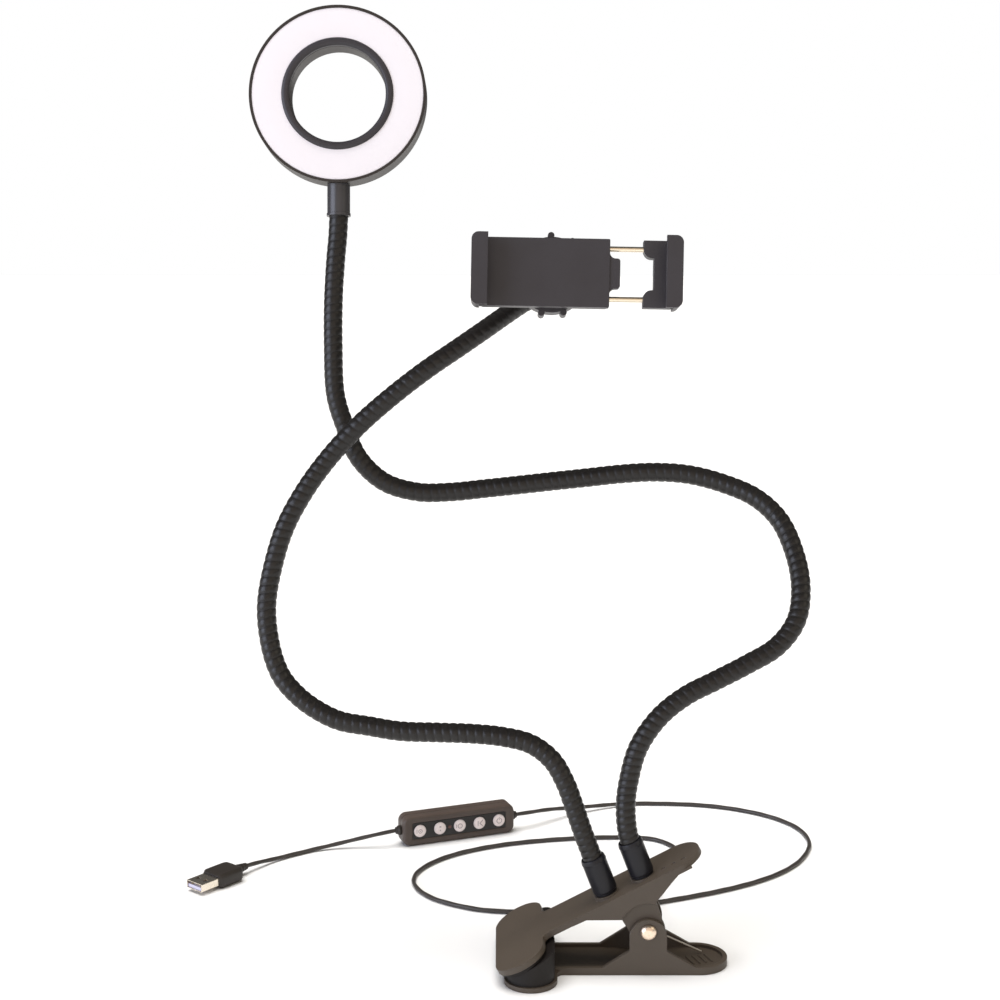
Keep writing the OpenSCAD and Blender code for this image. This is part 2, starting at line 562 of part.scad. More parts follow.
// ---------- cord ----------
module cord_lamp() color([0.17, 0.16, 0.15])
    tube(stretch(cord_route, 0, 39, 72), cord_d / 2, 8, [0, 0, 1]);
module cord_plug() color([0.17, 0.16, 0.15])
    tube(stretch(plug_route, 0, 8, 12), cord_d / 2, 8, [0, 0, 1]);

ring_housing();
ring_bezel();
diffuser();
led_board();
led_chips();
ring_screws();
ring_sleeve();
light_neck_head();
light_neck_upper();
light_neck_middle();
light_neck_lower();
light_neck_root();
light_sleeve();
light_nut();
phone_neck_root();
phone_neck_lower();
phone_neck_upper();
phone_sleeve();
phone_nut();
ball_sleeve();
ball_stud();
ball_bush();
lock_nut();
holder_body();
holder_back();
holder_screws();
fixed_pad();
sliding_jaw();
guide_rods();
sliding_pad();
upper_lever();
upper_pad();
lower_lever();
lower_pad();
pivot_rivet();
torsion_spring();
spring_leg();
cord_gland();
lamp_lead();
remote_front();
remote_back();
remote_panel();
button_1();
button_2();
button_3();
button_4();
button_5();
remote_board();
indicator();
remote_grommets();
remote_screws();
usb_overmould();
usb_shell();
usb_tongue();
usb_contacts();
cord_lamp();
cord_plug();
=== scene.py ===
import math

import bpy
import numpy as np
from mathutils import Matrix


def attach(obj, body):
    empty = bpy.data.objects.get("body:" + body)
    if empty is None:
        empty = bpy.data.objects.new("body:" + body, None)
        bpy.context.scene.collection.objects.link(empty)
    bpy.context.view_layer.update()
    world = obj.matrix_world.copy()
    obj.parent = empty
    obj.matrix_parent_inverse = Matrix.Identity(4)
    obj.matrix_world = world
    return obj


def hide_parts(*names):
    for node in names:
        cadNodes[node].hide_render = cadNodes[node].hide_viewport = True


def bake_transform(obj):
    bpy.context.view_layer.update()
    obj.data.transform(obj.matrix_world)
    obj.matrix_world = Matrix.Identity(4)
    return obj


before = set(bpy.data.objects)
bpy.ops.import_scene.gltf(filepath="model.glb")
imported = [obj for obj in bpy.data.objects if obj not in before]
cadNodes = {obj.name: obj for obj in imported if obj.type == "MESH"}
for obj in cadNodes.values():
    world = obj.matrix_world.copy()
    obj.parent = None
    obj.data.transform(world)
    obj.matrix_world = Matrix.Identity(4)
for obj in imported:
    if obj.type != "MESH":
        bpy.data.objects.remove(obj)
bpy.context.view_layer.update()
scene = bpy.context.scene
mm = 0.001
print("frame loaded:", len(cadNodes), "nodes")


# camera, light and floor
cameraPlan = {"place": (0, -0.801, 0.366), "tilt": 80, "lens": 63}
lightPlan = {
    "top": {"turn": (-4, -8, 0), "strength": 4.4, "spread": 50, "colour": (1.0, 0.98, 0.95)},
    "coolLeft": {"turn": (82, 0, -58), "strength": 2.8, "spread": 50, "colour": (0.76, 0.82, 1.0)},
    "warmRight": {"turn": (58, 0, 66), "strength": 0.45, "spread": 40, "colour": (1.0, 0.90, 0.72)},
    "front": {"turn": (74, 0, 8), "strength": 0.6, "spread": 60, "colour": (1.0, 0.82, 0.66)},
}
backdrop = {"ambient": 0.12, "floorHeight": -4 * mm, "floorSize": 14.0, "floorColour": (0.72, 0.72, 0.72, 1)}

cameraData = bpy.data.cameras.new("camera")
cameraData.lens = cameraPlan["lens"]
cameraData.sensor_width = 36
cameraData.clip_start, cameraData.clip_end = 0.01, 50
camera = bpy.data.objects.new("camera", cameraData)
camera.location = cameraPlan["place"]
camera.rotation_euler = (math.radians(cameraPlan["tilt"]), 0, 0)
scene.collection.objects.link(camera)
scene.camera = camera
scene.view_settings.view_transform = "Standard"

for name, plan in lightPlan.items():
    sun = bpy.data.lights.new(name, "SUN")
    sun.energy, sun.angle, sun.color = plan["strength"], math.radians(plan["spread"]), plan["colour"]
    lamp = bpy.data.objects.new(name, sun)
    lamp.rotation_euler = [math.radians(a) for a in plan["turn"]]
    lamp.visible_glossy = name != "top"  # the top light lights faces but leaves no streak on the round arms
    scene.collection.objects.link(lamp)


# node graphs: a wired socket takes part in ordinary sums
class Wire:
    def __init__(self, graph, socket):
        self.graph, self.socket = graph, socket

    def sum(self, kind, first, second=0.0):
        return self.graph.put("ShaderNodeMath", {"operation": kind}, {0: first, 1: second})

    def __add__(self, other):
        return self.sum("ADD", self, other)

    def __radd__(self, other):
        return self.sum("ADD", other, self)

    def __sub__(self, other):
        return self.sum("SUBTRACT", self, other)

    def __rsub__(self, other):
        return self.sum("SUBTRACT", other, self)

    def __mul__(self, other):
        return self.sum("MULTIPLY", self, other)

    def __rmul__(self, other):
        return self.sum("MULTIPLY", other, self)

    def __pow__(self, other):
        return self.sum("POWER", self, other)

    def __lt__(self, other):
        return self.sum("LESS_THAN", self, other)

    def __gt__(self, other):
        return self.sum("GREATER_THAN", self, other)

    def __abs__(self):
        return self.sum("ABSOLUTE", self)

    def low(self, other):
        return self.sum("MINIMUM", self, other)

    def high(self, other):
        return self.sum("MAXIMUM", self, other)

    def root(self):
        return self.sum("SQRT", self)

    def sine(self):
        return self.sum("SINE", self)


class Finish:
    # one material: put() adds any node, surface() closes the graph on its principled shader
    def __init__(self, name):
        self.material = bpy.data.materials.new(name)
        self.material.use_nodes = True
        self.tree = self.material.node_tree
        self.tree.nodes.clear()

    def put(self, kind, settings=None, values=None, out=0):
        node = self.tree.nodes.new(kind)
        for key, value in (settings or {}).items():
            setattr(node, key, value)
        for key, value in (values or {}).items():
            if isinstance(value, Wire):
                self.tree.links.new(value.socket, node.inputs[key])
            else:
                node.inputs[key].default_value = value
        return Wire(self, node.outputs[out]) if node.outputs else None

    def mixed(self, factor, first, second):
        return self.put("ShaderNodeMix", {"data_type": "RGBA"}, {0: factor, 6: first, 7: second}, 2)

    def noise(self, place, scale, detail=2.0, rough=0.5):
        return self.put("ShaderNodeTexNoise", None,
                        {"Vector": place, "Scale": scale, "Detail": detail, "Roughness": rough})

    def place(self):
        return self.put("ShaderNodeTexCoord", None, None, "Object")

    def chart(self):
        return self.put("ShaderNodeUVMap", {"uv_map": "chart"})

    def parts(self, vector):
        split = self.put("ShaderNodeSeparateXYZ", None, {0: vector})
        return [Wire(self, s) for s in split.socket.node.outputs]

    def bump(self, height, strength, distance, normal=None):
        values = {"Height": height, "Strength": strength, "Distance": distance}
        if normal is not None:
            values["Normal"] = normal
        return self.put("ShaderNodeBump", None, values)

    def rounded(self, radius):
        return self.put("ShaderNodeBevel", {"samples": 4}, {"Radius": radius})

    def edges(self, soft, gain):
        # how far the rounded direction leaves the flat one, so it is 0 on a face and near 1 on a corner
        flat = self.put("ShaderNodeNewGeometry", None, None, "Normal")
        along = self.put("ShaderNodeVectorMath", {"operation": "DOT_PRODUCT"}, {0: soft, 1: flat}, 1)
        return ((1 - along) * gain).low(1.0).high(0.0)

    def surface(self, **values):
        named = {key.replace("_", " "): value for key, value in values.items()}
        shader = self.put("ShaderNodeBsdfPrincipled", None, named)
        self.put("ShaderNodeOutputMaterial", None, {"Surface": shader})
        return self.material


def tone(colour, gain=1.0):
    return tuple(c * gain for c in colour[:3]) + (1.0,)


def mouldedPlastic(name, look):
    # fine spark-eroded grain, slow mottling, and edges a little smoother than the faces and paler, partly
    # rubbed wear and partly a painted edge highlight
    f = Finish(name)
    spot = f.place()
    mottle = f.noise(spot, look.get("mottle", 60), 3.0)
    grain = f.noise(spot, look.get("grain", 2600), 2.0, 0.6)
    soft = f.rounded(look.get("edge", 0.45 * mm))
    wornAndLitEdge = f.edges(soft, 2.2)
    colour = f.mixed(mottle, tone(look["colour"], 0.86), tone(look["colour"], 1.14))
    # edges mixed toward the pale tone: rubbed wear plus a painted highlight along every edge
    colour = f.mixed(wornAndLitEdge * look.get("edgeWearAndLight", 0.5), colour, tone(look["colour"], look.get("pale", 1.9)))
    rough = look["rough"] + (mottle - 0.5) * 0.12 + (grain - 0.5) * 0.08 - wornAndLitEdge * 0.06
    normal = f.bump(grain, look.get("grainStrength", 0.18), 0.06 * mm, soft)
    return f.surface(Base_Color=colour, Roughness=rough, Normal=normal, IOR=look.get("ior", 1.46),
                     Specular_IOR_Level=look.get("specular", 0.5))


def drawnMetal(name, look):
    # fine scratches that follow one axis, faint stains and an edge rounded in the shading
    f = Finish(name)
    spot = f.place()
    stretched = f.put("ShaderNodeMapping", None, {"Vector": spot, "Scale": look["stretch"]})
    streak = f.noise(stretched, 900, 3.0, 0.6)
    stain = f.noise(spot, 160, 2.0)
    soft = f.rounded(look.get("edge", 0.25 * mm))
    colour = f.mixed(stain, tone(look["colour"], 0.9), tone(look["colour"], 1.08))
    rough = look["rough"] + (streak - 0.5) * 0.16 + (stain - 0.5) * 0.1
    normal = f.bump(streak, 0.12, 0.03 * mm, soft)
    return f.surface(Base_Color=colour, Metallic=1.0, Roughness=rough, Normal=normal)


def neckSkin(name, look):
    # crest is 0 in a groove and 1 on a bead: the grooves get painted shade and are rougher, and dust lies in
    # patches
    f = Finish(name)
    spot = f.place()
    crest = f.parts(f.put("ShaderNodeAttribute", {"attribute_name": "crest"}, None, "Vector"))[0]
    mottle = f.noise(spot, 95, 3.0)
    grain = f.noise(spot, 3000, 2.0)
    # painted shade: the grooves are darker than the beads in the colour itself
    colour = f.mixed(crest, tone(look["colour"], 0.6), tone(look["colour"], 1.15))
    colour = f.mixed(mottle * 0.35, colour, tone(look["dust"]))
    rough = look["rough"] + (1 - crest) * 0.18 + (mottle - 0.5) * 0.22
    normal = f.bump(grain, 0.12, 0.05 * mm)
    return f.surface(Base_Color=colour, Roughness=rough, Normal=normal, IOR=1.48,
                     Specular_IOR_Level=look["specular"])


def cordSkin(name, look):
    f = Finish(name)
    around, along, _ = f.parts(f.chart())
    twist = ((around * 2 + along * look["twist"]) * math.tau).sine()
    grain = f.noise(f.place(), 1800, 2.0)
    shift = f.noise(f.place(), 70, 2.0)
    colour = f.mixed(shift, tone(look["colour"], 0.8), tone(look["colour"], 1.25))
    rough = look["rough"] + twist * 0.06 + (shift - 0.5) * 0.25
    normal = f.bump(grain * 0.4 + twist * 0.5, 0.3, 0.08 * mm)
    return f.surface(Base_Color=colour, Roughness=rough, Normal=normal, IOR=1.47)


def milkyGlow(name, look):
    # light from a ring of chips behind a milky sheet: nearly even, a touch darker beside both rims
    f = Finish(name)
    around, across, _ = f.parts(f.chart())
    chips = (around * (math.tau * look["chips"])).sine() * 0.5 + 0.5
    rim = (abs(across - 0.5) * 2) ** 14.0
    cloud = f.noise(f.place(), 120, 2.0)
    middle = 1 - abs(across - 0.5) * 2
    level = 1 - rim * look["rimShade"] + chips * look["chipGlow"] * middle + (cloud - 0.5) * 0.02
    glow = f.mixed(level.low(1.0), tone(look["rimGlow"]), tone(look["glow"]))
    fine = f.noise(f.place(), 1500, 2.0)
    return f.surface(Base_Color=tone(look["colour"]), Roughness=0.42 + fine * 0.08, Emission_Color=glow,
                     Emission_Strength=look["strength"], Normal=f.bump(fine, 0.06, 0.05 * mm))


def keyFace(name, look, sign):
    # pearl cap with one plain grey sign, drawn in the chart, whose middle is 0.5 and whose rim is at 0 and 1
    f = Finish(name)
    u, v, _ = f.parts(f.chart())
    x, y = (u - 0.5) * 2, (v - 0.5) * 2
    far = (x * x + y * y).root()
    box = lambda cx, cy, wx, wy: (abs(x - cx) < wx) * (abs(y - cy) < wy)
    ringAt = lambda radius, width: abs(far - radius) < width
    signs = {
        "sun": lambda: (ringAt(0.3, 0.06) + (far < 0.1) + box(-0.58, 0, 0.06, 0.34)).low(1.0),
        "tone": lambda: (box(0, 0.3, 0.16, 0.1) + box(0, -0.3, 0.1, 0.12)).low(1.0),
        "ring": lambda: (ringAt(0.36, 0.07) + box(-0.62, 0.0, 0.06, 0.3)).low(1.0),
        "less": lambda: (box(-0.3, 0, 0.07, 0.4)
                         + (abs(abs(y) - x * 0.9) < 0.11) * (abs(x - 0.25) < 0.3)).low(1.0),
        "power": lambda: (ringAt(0.42, 0.07) * (1 - box(0, 0.45, 0.14, 0.3))
                          + box(0, 0.36, 0.06, 0.26)).low(1.0),
    }
    mark = signs[sign]()
    cloud = f.noise(f.place(), 500, 2.0)
    colour = f.mixed(cloud, tone(look["colour"], 0.93), tone(look["colour"], 1.05))
    colour = f.mixed(mark * 0.72, colour, tone(look["mark"]))
    shade = (far ** 6.0).low(1.0)
    colour = f.mixed(shade * 0.4, colour, tone(look["colour"], 0.5))
    return f.surface(Base_Color=colour, Roughness=0.28 + mark * 0.2 + (cloud - 0.5) * 0.1,
                     Coat_Weight=0.3, Normal=f.bump(mark * -1.0, 0.3, 0.06 * mm))


# finishes, by what each is made of
finishPlan = {
    "black_plastic": {"colour": (0.031, 0.028, 0.032), "rough": 0.47},
    "ringShell": {"colour": (0.030, 0.025, 0.022), "rough": 0.47, "specular": 0.35},
    "lever_plastic": {"colour": (0.064, 0.050, 0.037), "rough": 0.5, "edge": 0.6 * mm, "grainStrength": 0.14},
    "remote_plastic": {"colour": (0.062, 0.046, 0.038), "rough": 0.5, "edge": 0.5 * mm},
    "sleeve": {"colour": (0.009, 0.009, 0.012), "rough": 0.36, "edge": 0.3 * mm, "edgeWearAndLight": 0.35,
               "specular": 0.36},
    "rubber_pad": {"colour": (0.012, 0.010, 0.009), "rough": 0.62, "grain": 1700, "grainStrength": 0.35,
                   "specular": 0.3},
    "ringSleeve": {"colour": (0.045, 0.043, 0.046), "rough": 0.3, "edge": 0.3 * mm, "edgeWearAndLight": 0.35},
    "panel": {"colour": (0.011, 0.0095, 0.009), "rough": 0.38, "edgeWearAndLight": 0.2},
    "cordEnds": {"colour": (0.024, 0.020, 0.017), "rough": 0.5, "edge": 0.2 * mm, "edgeWearAndLight": 0.3},
    "tongue": {"colour": (0.58, 0.56, 0.70), "rough": 0.4, "edge": 0.15 * mm, "pale": 1.1},
    "circuit_board": {"colour": (0.62, 0.62, 0.58), "rough": 0.5, "edge": 0.1 * mm, "pale": 1.1},
    "led": {"colour": (0.85, 0.72, 0.3), "rough": 0.3, "edge": 0.1 * mm, "pale": 1.1},
    "indicator": {"colour": (0.11, 0.055, 0.045), "rough": 0.25, "edge": 0.1 * mm},
}
metalPlan = {
    "rodMetal": {"colour": (0.86, 0.76, 0.6), "rough": 0.2, "stretch": (0.05, 1, 1)},
    "plugMetal": {"colour": (0.82, 0.74, 0.62), "rough": 0.26, "stretch": (0.2, 0.2, 1)},
    "rivetMetal": {"colour": (0.93, 0.76, 0.6), "rough": 0.33, "stretch": (1, 1, 1)},
    "screw_steel": {"colour": (0.58, 0.58, 0.6), "rough": 0.3, "stretch": (1, 1, 1)},
    "spring_wire": {"colour": (0.46, 0.44, 0.41), "rough": 0.3, "stretch": (0.3, 1, 0.3)},
    "contacts": {"colour": (0.92, 0.72, 0.32), "rough": 0.22, "stretch": (1, 1, 1)},
}
neckLook = {"colour": (0.007, 0.0062, 0.006), "dust": (0.018, 0.015, 0.012), "rough": 0.36, "specular": 0.42}
cordLook = {"colour": (0.036, 0.031, 0.028), "rough": 0.42, "twist": 70}
glowLook = {"colour": (0.6, 0.58, 0.6), "glow": (0.97, 0.9, 0.945), "strength": 0.25, "chips": 24,
            "chipGlow": 0.015, "rimShade": 0.35, "rimGlow": (0.3, 0.28, 0.29)}
keyLook = {"colour": (0.72, 0.64, 0.63), "mark": (0.16, 0.13, 0.14)}

looks = {name: mouldedPlastic(name, look) for name, look in finishPlan.items()}
looks.update({name: drawnMetal(name, look) for name, look in metalPlan.items()})
looks["gooseneck"] = neckSkin("gooseneck", neckLook)
looks["cord"] = cordSkin("cord", cordLook)
looks["diffuser"] = milkyGlow("diffuser", glowLook)
print("finishes made:", len(looks))


# world and floor
world = bpy.data.worlds.new("studio")
scene.world = world
world.use_nodes = True
sky = world.node_tree
seen = sky.nodes.new("ShaderNodeLightPath")
plain = sky.nodes["Background"]
plain.inputs["Color"].default_value = (1, 1, 1, 1)
level = sky.nodes.new("ShaderNodeMapRange")  # white where it is seen, dimmer where it only lights
level.inputs["To Min"].default_value = backdrop["ambient"]
level.inputs["To Max"].default_value = 1.0
sky.links.new(seen.outputs["Is Camera Ray"], level.inputs["Value"])
sky.links.new(level.outputs["Result"], plain.inputs["Strength"])

floorFinish = Finish("floorPaint")
floorTone = floorFinish.mixed(floorFinish.noise(floorFinish.place(), 3, 2.0),
                              tone(backdrop["floorColour"], 1.0), tone(backdrop["floorColour"], 1.02))
floorFinish.surface(Base_Color=floorTone, Roughness=0.9, Specular_IOR_Level=0.1)
half, low = backdrop["floorSize"] / 2, backdrop["floorHeight"] - 0.1 * mm
floorMesh = bpy.data.meshes.new("floor")
floorMesh.from_pydata([(-half, -half, low), (half, -half, low), (half, half, low), (-half, half, low)],
                      [], [(0, 1, 2, 3)])
floor = bpy.data.objects.new("floor", floorMesh)
floorMesh.materials.append(floorFinish.material)
scene.collection.objects.link(floor)


# surfaces
def gridCells(rows, columns, looped):
    # one quad for each cell; columns close on themselves, and rows do if looped
    i = np.arange(rows if looped else rows - 1)[:, None]
    k = np.arange(columns)[None, :]
    j, n = (i + 1) % rows, (k + 1) % columns
    return np.stack([i * columns + k, i * columns + n, j * columns + n, j * columns + k], -1).reshape(-1, 4)


def shapedPiece(name, rings, finish, body=None, replaced=(), looped=False, chart=None, crest=None,
                sharp=42):
    # rings holds one closed loop of points per row; unless looped, each end gets a fan to its middle
    rows, columns = rings.shape[:2]
    points = rings.reshape(-1, 3)
    quads = gridCells(rows, columns, looped)
    fans = np.zeros((0, 3), int)
    if not looped:
        k = np.arange(columns)
        n, last, mid = (k + 1) % columns, (rows - 1) * columns, rows * columns
        fans = np.concatenate([np.stack([n, k, k * 0 + mid], -1),
                               np.stack([k + last, n + last, k * 0 + mid + 1], -1)])
        points = np.concatenate([points, rings[0].mean(0)[None], rings[-1].mean(0)[None]])
    a, b, c, d = (points[quads[:, q]] for q in range(4))
    size = np.einsum("ij,ij", a, np.cross(b, c)) + np.einsum("ij,ij", a, np.cross(c, d))
    if len(fans):
        a, b, c = (points[fans[:, q]] for q in range(3))
        size += np.einsum("ij,ij", a, np.cross(b, c))
    u = np.stack([quads[:, 0] % columns, quads[:, 0] % columns + 1] * 2, -1)[:, [0, 1, 3, 2]] / columns
    row = np.stack([quads[:, 0] // columns] * 2 + [quads[:, 0] // columns + 1] * 2, -1)
    along = np.arange(rows) / max(rows - 1, 1) if chart is None else chart
    along = np.append(along, along[-1])
    uv = np.stack([u, along[row]], -1)
    if size < 0:
        quads, fans, uv = quads[:, ::-1], fans[:, ::-1], uv[:, ::-1]
    mesh = bpy.data.meshes.new(name)
    mesh.from_pydata(points.tolist(), [], quads.tolist() + fans.tolist())
    layer = mesh.uv_layers.new(name="chart")
    flat = np.zeros((len(mesh.loops), 2), np.float32)
    flat[: uv.shape[0] * 4] = uv.reshape(-1, 2)
    flat[uv.shape[0] * 4:] = 0.5
    layer.data.foreach_set("uv", flat.ravel())
    if crest is not None:
        mark = mesh.attributes.new("crest", "FLOAT", "POINT")
        mark.data.foreach_set("value", np.concatenate([crest.ravel(), [0.5, 0.5]]).astype(np.float32))
    mesh.materials.append(finish)
    mesh.shade_smooth()
    mesh.set_sharp_from_angle(angle=math.radians(sharp))
    piece = bpy.data.objects.new(name, mesh)
    scene.collection.objects.link(piece)
    if replaced:
        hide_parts(*replaced)
    if body:
        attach(piece, body)
    return piece


def alongRoute(points, u):
    # half of 2b + (c-a)t + (2a-5b+4c-d)t^2 + (3b-a-3c+d)t^3 between each two points b and c
    p = np.asarray(points, float)
    padded = np.vstack([p[:1], p, p[-1:]])
    i = np.clip(np.floor(u).astype(int), 0, len(p) - 2)
    t = (u - i)[:, None]
    a, b, c, d = (padded[i + k] for k in range(4))
    return 0.5 * (2 * b + (c - a) * t + (2 * a - 5 * b + 4 * c - d) * t**2 + (3 * b - a - 3 * c + d) * t**3)


def evenRoute(points, start, stop, step):
    # the same curve, cut every step of its length; also the length reached at each cut
    u = np.linspace(start, stop, 4000)
    fine = alongRoute(points, u)
    run = np.concatenate([[0], np.cumsum(np.linalg.norm(np.diff(fine, axis=0), axis=1))])
    count = max(int(round(run[-1] / step)), 4) + 1
    s = np.linspace(0, run[-1], count)
    return alongRoute(points, np.interp(s, run, u)), s


def tubeRings(centre, radius, sides, aside):
    # centre + r (cos a * side + sin a * top), where side is square to the path and to aside
    way = np.gradient(centre, axis=0)
    way /= np.linalg.norm(way, axis=1, keepdims=True)
    side = np.cross(way, aside)
    side /= np.linalg.norm(side, axis=1, keepdims=True)
    top = np.cross(side, way)
    a = np.arange(sides) / sides * math.tau
    spoke = np.cos(a)[None, :, None] * side[:, None] + np.sin(a)[None, :, None] * top[:, None]
    return centre[:, None] + np.broadcast_to(radius, (len(centre), sides))[..., None] * spoke


def softCorners(profile, radius, steps=5):
    # each corner p becomes (1-t)^2 a + 2t(1-t) p + t^2 b, with a and b up to radius before and after it
    p = np.asarray(profile, float)
    before, after = p[:-2] - p[1:-1], p[2:] - p[1:-1]
    lb, la = (np.linalg.norm(v, axis=1, keepdims=True) for v in (before, after))
    a = p[1:-1] + before / lb * np.minimum(radius, 0.45 * lb)
    b = p[1:-1] + after / la * np.minimum(radius, 0.45 * la)
    t = np.linspace(0, 1, steps)[None, :, None]
    arcs = (1 - t) ** 2 * a[:, None] + 2 * t * (1 - t) * p[1:-1][:, None] + t**2 * b[:, None]
    return np.concatenate([p[:1], arcs.reshape(-1, 2), p[-1:]])


def turned(axis, degrees):
    return np.array(Matrix.Rotation(math.radians(degrees), 3, axis))


def aimed(direction):
    # columns are two sides and the axis of something turned about that direction
    z = np.asarray(direction, float) / np.linalg.norm(direction)
    x = np.cross(z, (0, 1, 0.01))
    x /= np.linalg.norm(x)
    return np.stack([x, np.cross(z, x), z], 1)


def latheRings(profile, turn, origin, sides):
    # (r cos a, r sin a, h) for each profile point, then turned and moved into place
    p, a = np.asarray(profile, float), np.arange(sides) / sides * math.tau
    rings = np.stack([p[:, :1] * np.cos(a), p[:, :1] * np.sin(a), p[:, 1:] + 0 * a], -1)
    return (rings @ np.asarray(turn).T + origin) * mm


cornerPoints = 8


def roundedLoop(halfWide, halfHigh, radius):
    # quarter turns of that radius about the four corner centres, joined by straight runs
    a = np.concatenate([np.linspace(0, 90, cornerPoints) + 90 * q for q in range(4)]) * math.pi / 180
    sx, sy = np.repeat([1, -1, -1, 1], cornerPoints), np.repeat([1, 1, -1, -1], cornerPoints)
    return np.stack([sx * (halfWide - radius) + radius * np.cos(a),
                     sy * (halfHigh - radius) + radius * np.sin(a)], -1)


def loftRings(rows, place, turn, origin):
    # one rounded rectangle for each row (half width, half height, corner radius, depth)
    depths = [np.full(4 * cornerPoints, row[3]) for row in rows]
    loops = np.stack([np.column_stack([roundedLoop(*row[:3]), depth]) for row, depth in zip(rows, depths)])
    return (place(loops) @ np.asarray(turn).T + origin) * mm


ringTurn, ringMiddle = turned("X", 80), np.array([-82.5, 109, 415])
holderTurn, holderMiddle = turned("X", -10) @ turned("Y", 1.1), np.array([24.9, 37.2, 328.2])
remoteTurn, remoteMiddle = turned("Z", 21), np.array([-23.3, 163.3, -4])
plugTurn, plugMiddle = turned("Z", 230), np.array([-155.9, 94.4, 0])
pivotMiddle = np.array([70.9, 0, 17.9])
sleeveLean = np.array([-math.sin(math.radians(21)), 0, math.cos(math.radians(21))])

# cords
cordPlan = {"diameter": 2.4 * mm, "sides": 16, "step": 1.3 * mm, "lobe": 0.05, "twistLength": 14 * mm}
lampCordRoute = np.array([
    [71, 22.3, 34.4], [73, 38, 29], [76, 56, 19], [81, 75, 7], [86, 95, -1],
    [93, 113, -2.5], [99, 127, -2.75], [101.5, 141, -2.75], [97, 153, -2.75],
    [87, 162, -2.75], [66, 164.5, -2.75], [35, 161.5, -2.75], [5, 154, -2.75],
    [-18, 143, -2.75], [-34, 130, -2.75], [-44, 115, -2.75], [-47, 101, -2.75],
    [-44, 88, -2.75], [-36, 76, -2.75], [-24, 67, -2.75], [-8, 60, -2.75],
    [13, 58, -2.75], [42, 61, -2.75], [73, 67, -2.75], [102, 78, -2.75],
    [128, 91, -2.75], [148, 105, -2.75], [163, 121, -2.75], [173, 139, -2.75],
    [178, 158, -2.75], [175, 179, -2.75], [163, 197, -2.75], [145, 210, -2.75],
    [124, 218, -2.75], [100, 221, -2.75], [76, 220, -2.5], [50, 209, -0.6], [30, 195, 3],
    [18.2, 185.6, 4.7], [9.7, 181.9, 4.75]]) * mm
plugCordRoute = np.array([
    [-60.2, 155, 4.8], [-68, 152.5, 4], [-80, 151.5, 1.5], [-92, 150, -1],
    [-104, 146, -2.5], [-115, 139, -2.75], [-126, 130, -2.3], [-134, 121, -0.9],
    [-139.6, 113.9, 0]]) * mm


def layCord(name, route, replaced):
    # a tube whose radius swells twice round and turns slowly along, as a sheath does over two twisted wires
    centre, s = evenRoute(route, 0, len(route) - 1, cordPlan["step"])
    a = np.arange(cordPlan["sides"]) / cordPlan["sides"] * math.tau
    swell = 1 + cordPlan["lobe"] * (np.cos(2 * a[None] - s[:, None] / cordPlan["twistLength"] * math.tau) - 1)
    rings = tubeRings(centre, cordPlan["diameter"] / 2 * swell, cordPlan["sides"], (0, 0, 1))
    cord = shapedPiece(name, rings, looks["cord"], "clamp", (replaced,), chart=s)
    return cord, centre, float(s[-1])


lampCord, lampPath, lampLength = layCord("lampCord", lampCordRoute, "cord_lamp")
plugCord, plugPath, plugLength = layCord("plugCord", plugCordRoute, "cord_plug")
print(f"cords laid: {lampLength:.3f} m to the remote, {plugLength:.3f} m to the plug")


def ribbedRelief(name, rows, turn, origin, body, replaced, sides=32):
    # a lathe profile with soft corners, for a collar, boot or tapered relief
    rings = latheRings(softCorners(rows, 0.35, 4), turn, origin, sides)
    return shapedPiece(name, rings, looks["cordEnds"], body, replaced)


def grooved(start, stop, r0, r1, count, depth):
    # a taper from r0 to r1 in steps, four to a groove, where the third step of each four goes in by depth
    steps = count * 4 + 1
    h = np.linspace(start, stop, steps)
    r = np.linspace(r0, r1, steps) - depth * (np.arange(steps) % 4 == 2)
    return [list(v) for v in np.stack([r, h], 1)]


gland = ribbedRelief(
    "glandBoot",
    [[0.5, 9], [2.9, 9], [2.9, 13.25], [3.9, 13.25], [3.9, 14.6]] + grooved(14.8, 21.4, 3.0, 2.0, 4, 0.28)
    + [[1.85, 22], [0.5, 22]],
    turned("X", -90), (71, 0, 34.5), "clamp", ("cord_gland",))
remotePlan = {"buttons": 12.1, "middle": 8.75, "radius": 3.55, "bootAt": 32.2, "seam": 5.5}
for hand in (-1, 1):
    root = np.array([remotePlan["bootAt"] * hand, remotePlan["seam"], remotePlan["middle"]])
    boot = ribbedRelief(
        "remoteBootNear" if hand > 0 else "remoteBootFar",
        [[0.4, 0], [2, 0], [2, 1.85], [2.8, 1.85], [2.8, 3.35], [2.45, 3.5]]
        + grooved(3.6, 4.8, 2.4, 1.95, 1, 0.2) + [[1.7, 5], [0.4, 5]],
        remoteTurn @ turned("Y", 90 * hand),
        remoteMiddle + remoteTurn @ root, "clamp",
        ("remote_grommets",) if hand > 0 else ())

# plug
# radius and depth along the round relief, then half width, half height, corner radius and depth of the grip
plugRelief = [(1.4, -25), (1.9, -24.8), (2.1, -23.3), (1.85, -23.0), (1.85, -22.6), (2.25, -22.3),
              (2.4, -21.0), (2.1, -20.7), (2.1, -20.3), (2.55, -20.0), (2.75, -18.3)]
plugGrip = [(2.9, 2.9, 2.8, -17.4), (4.6, 3.1, 2.6, -17.05), (6.2, 3.3, 2.2, -16.9), (7.0, 3.6, 2.3, -16.3),
            (7.5, 3.88, 2.4, -15.5), (7.78, 4.0, 2.4, -14.0), (7.8, 4.0, 2.4, -7.5), (7.8, 4.0, 2.4, -2.2),
            (7.6, 3.85, 2.3, -1.2), (6.9, 3.5, 2.1, -0.5), (6.6, 3.2, 1.8, 0.0), (6.05, 2.3, 0.55, 0.0),
            (6.05, 2.3, 0.55, -1.5)]
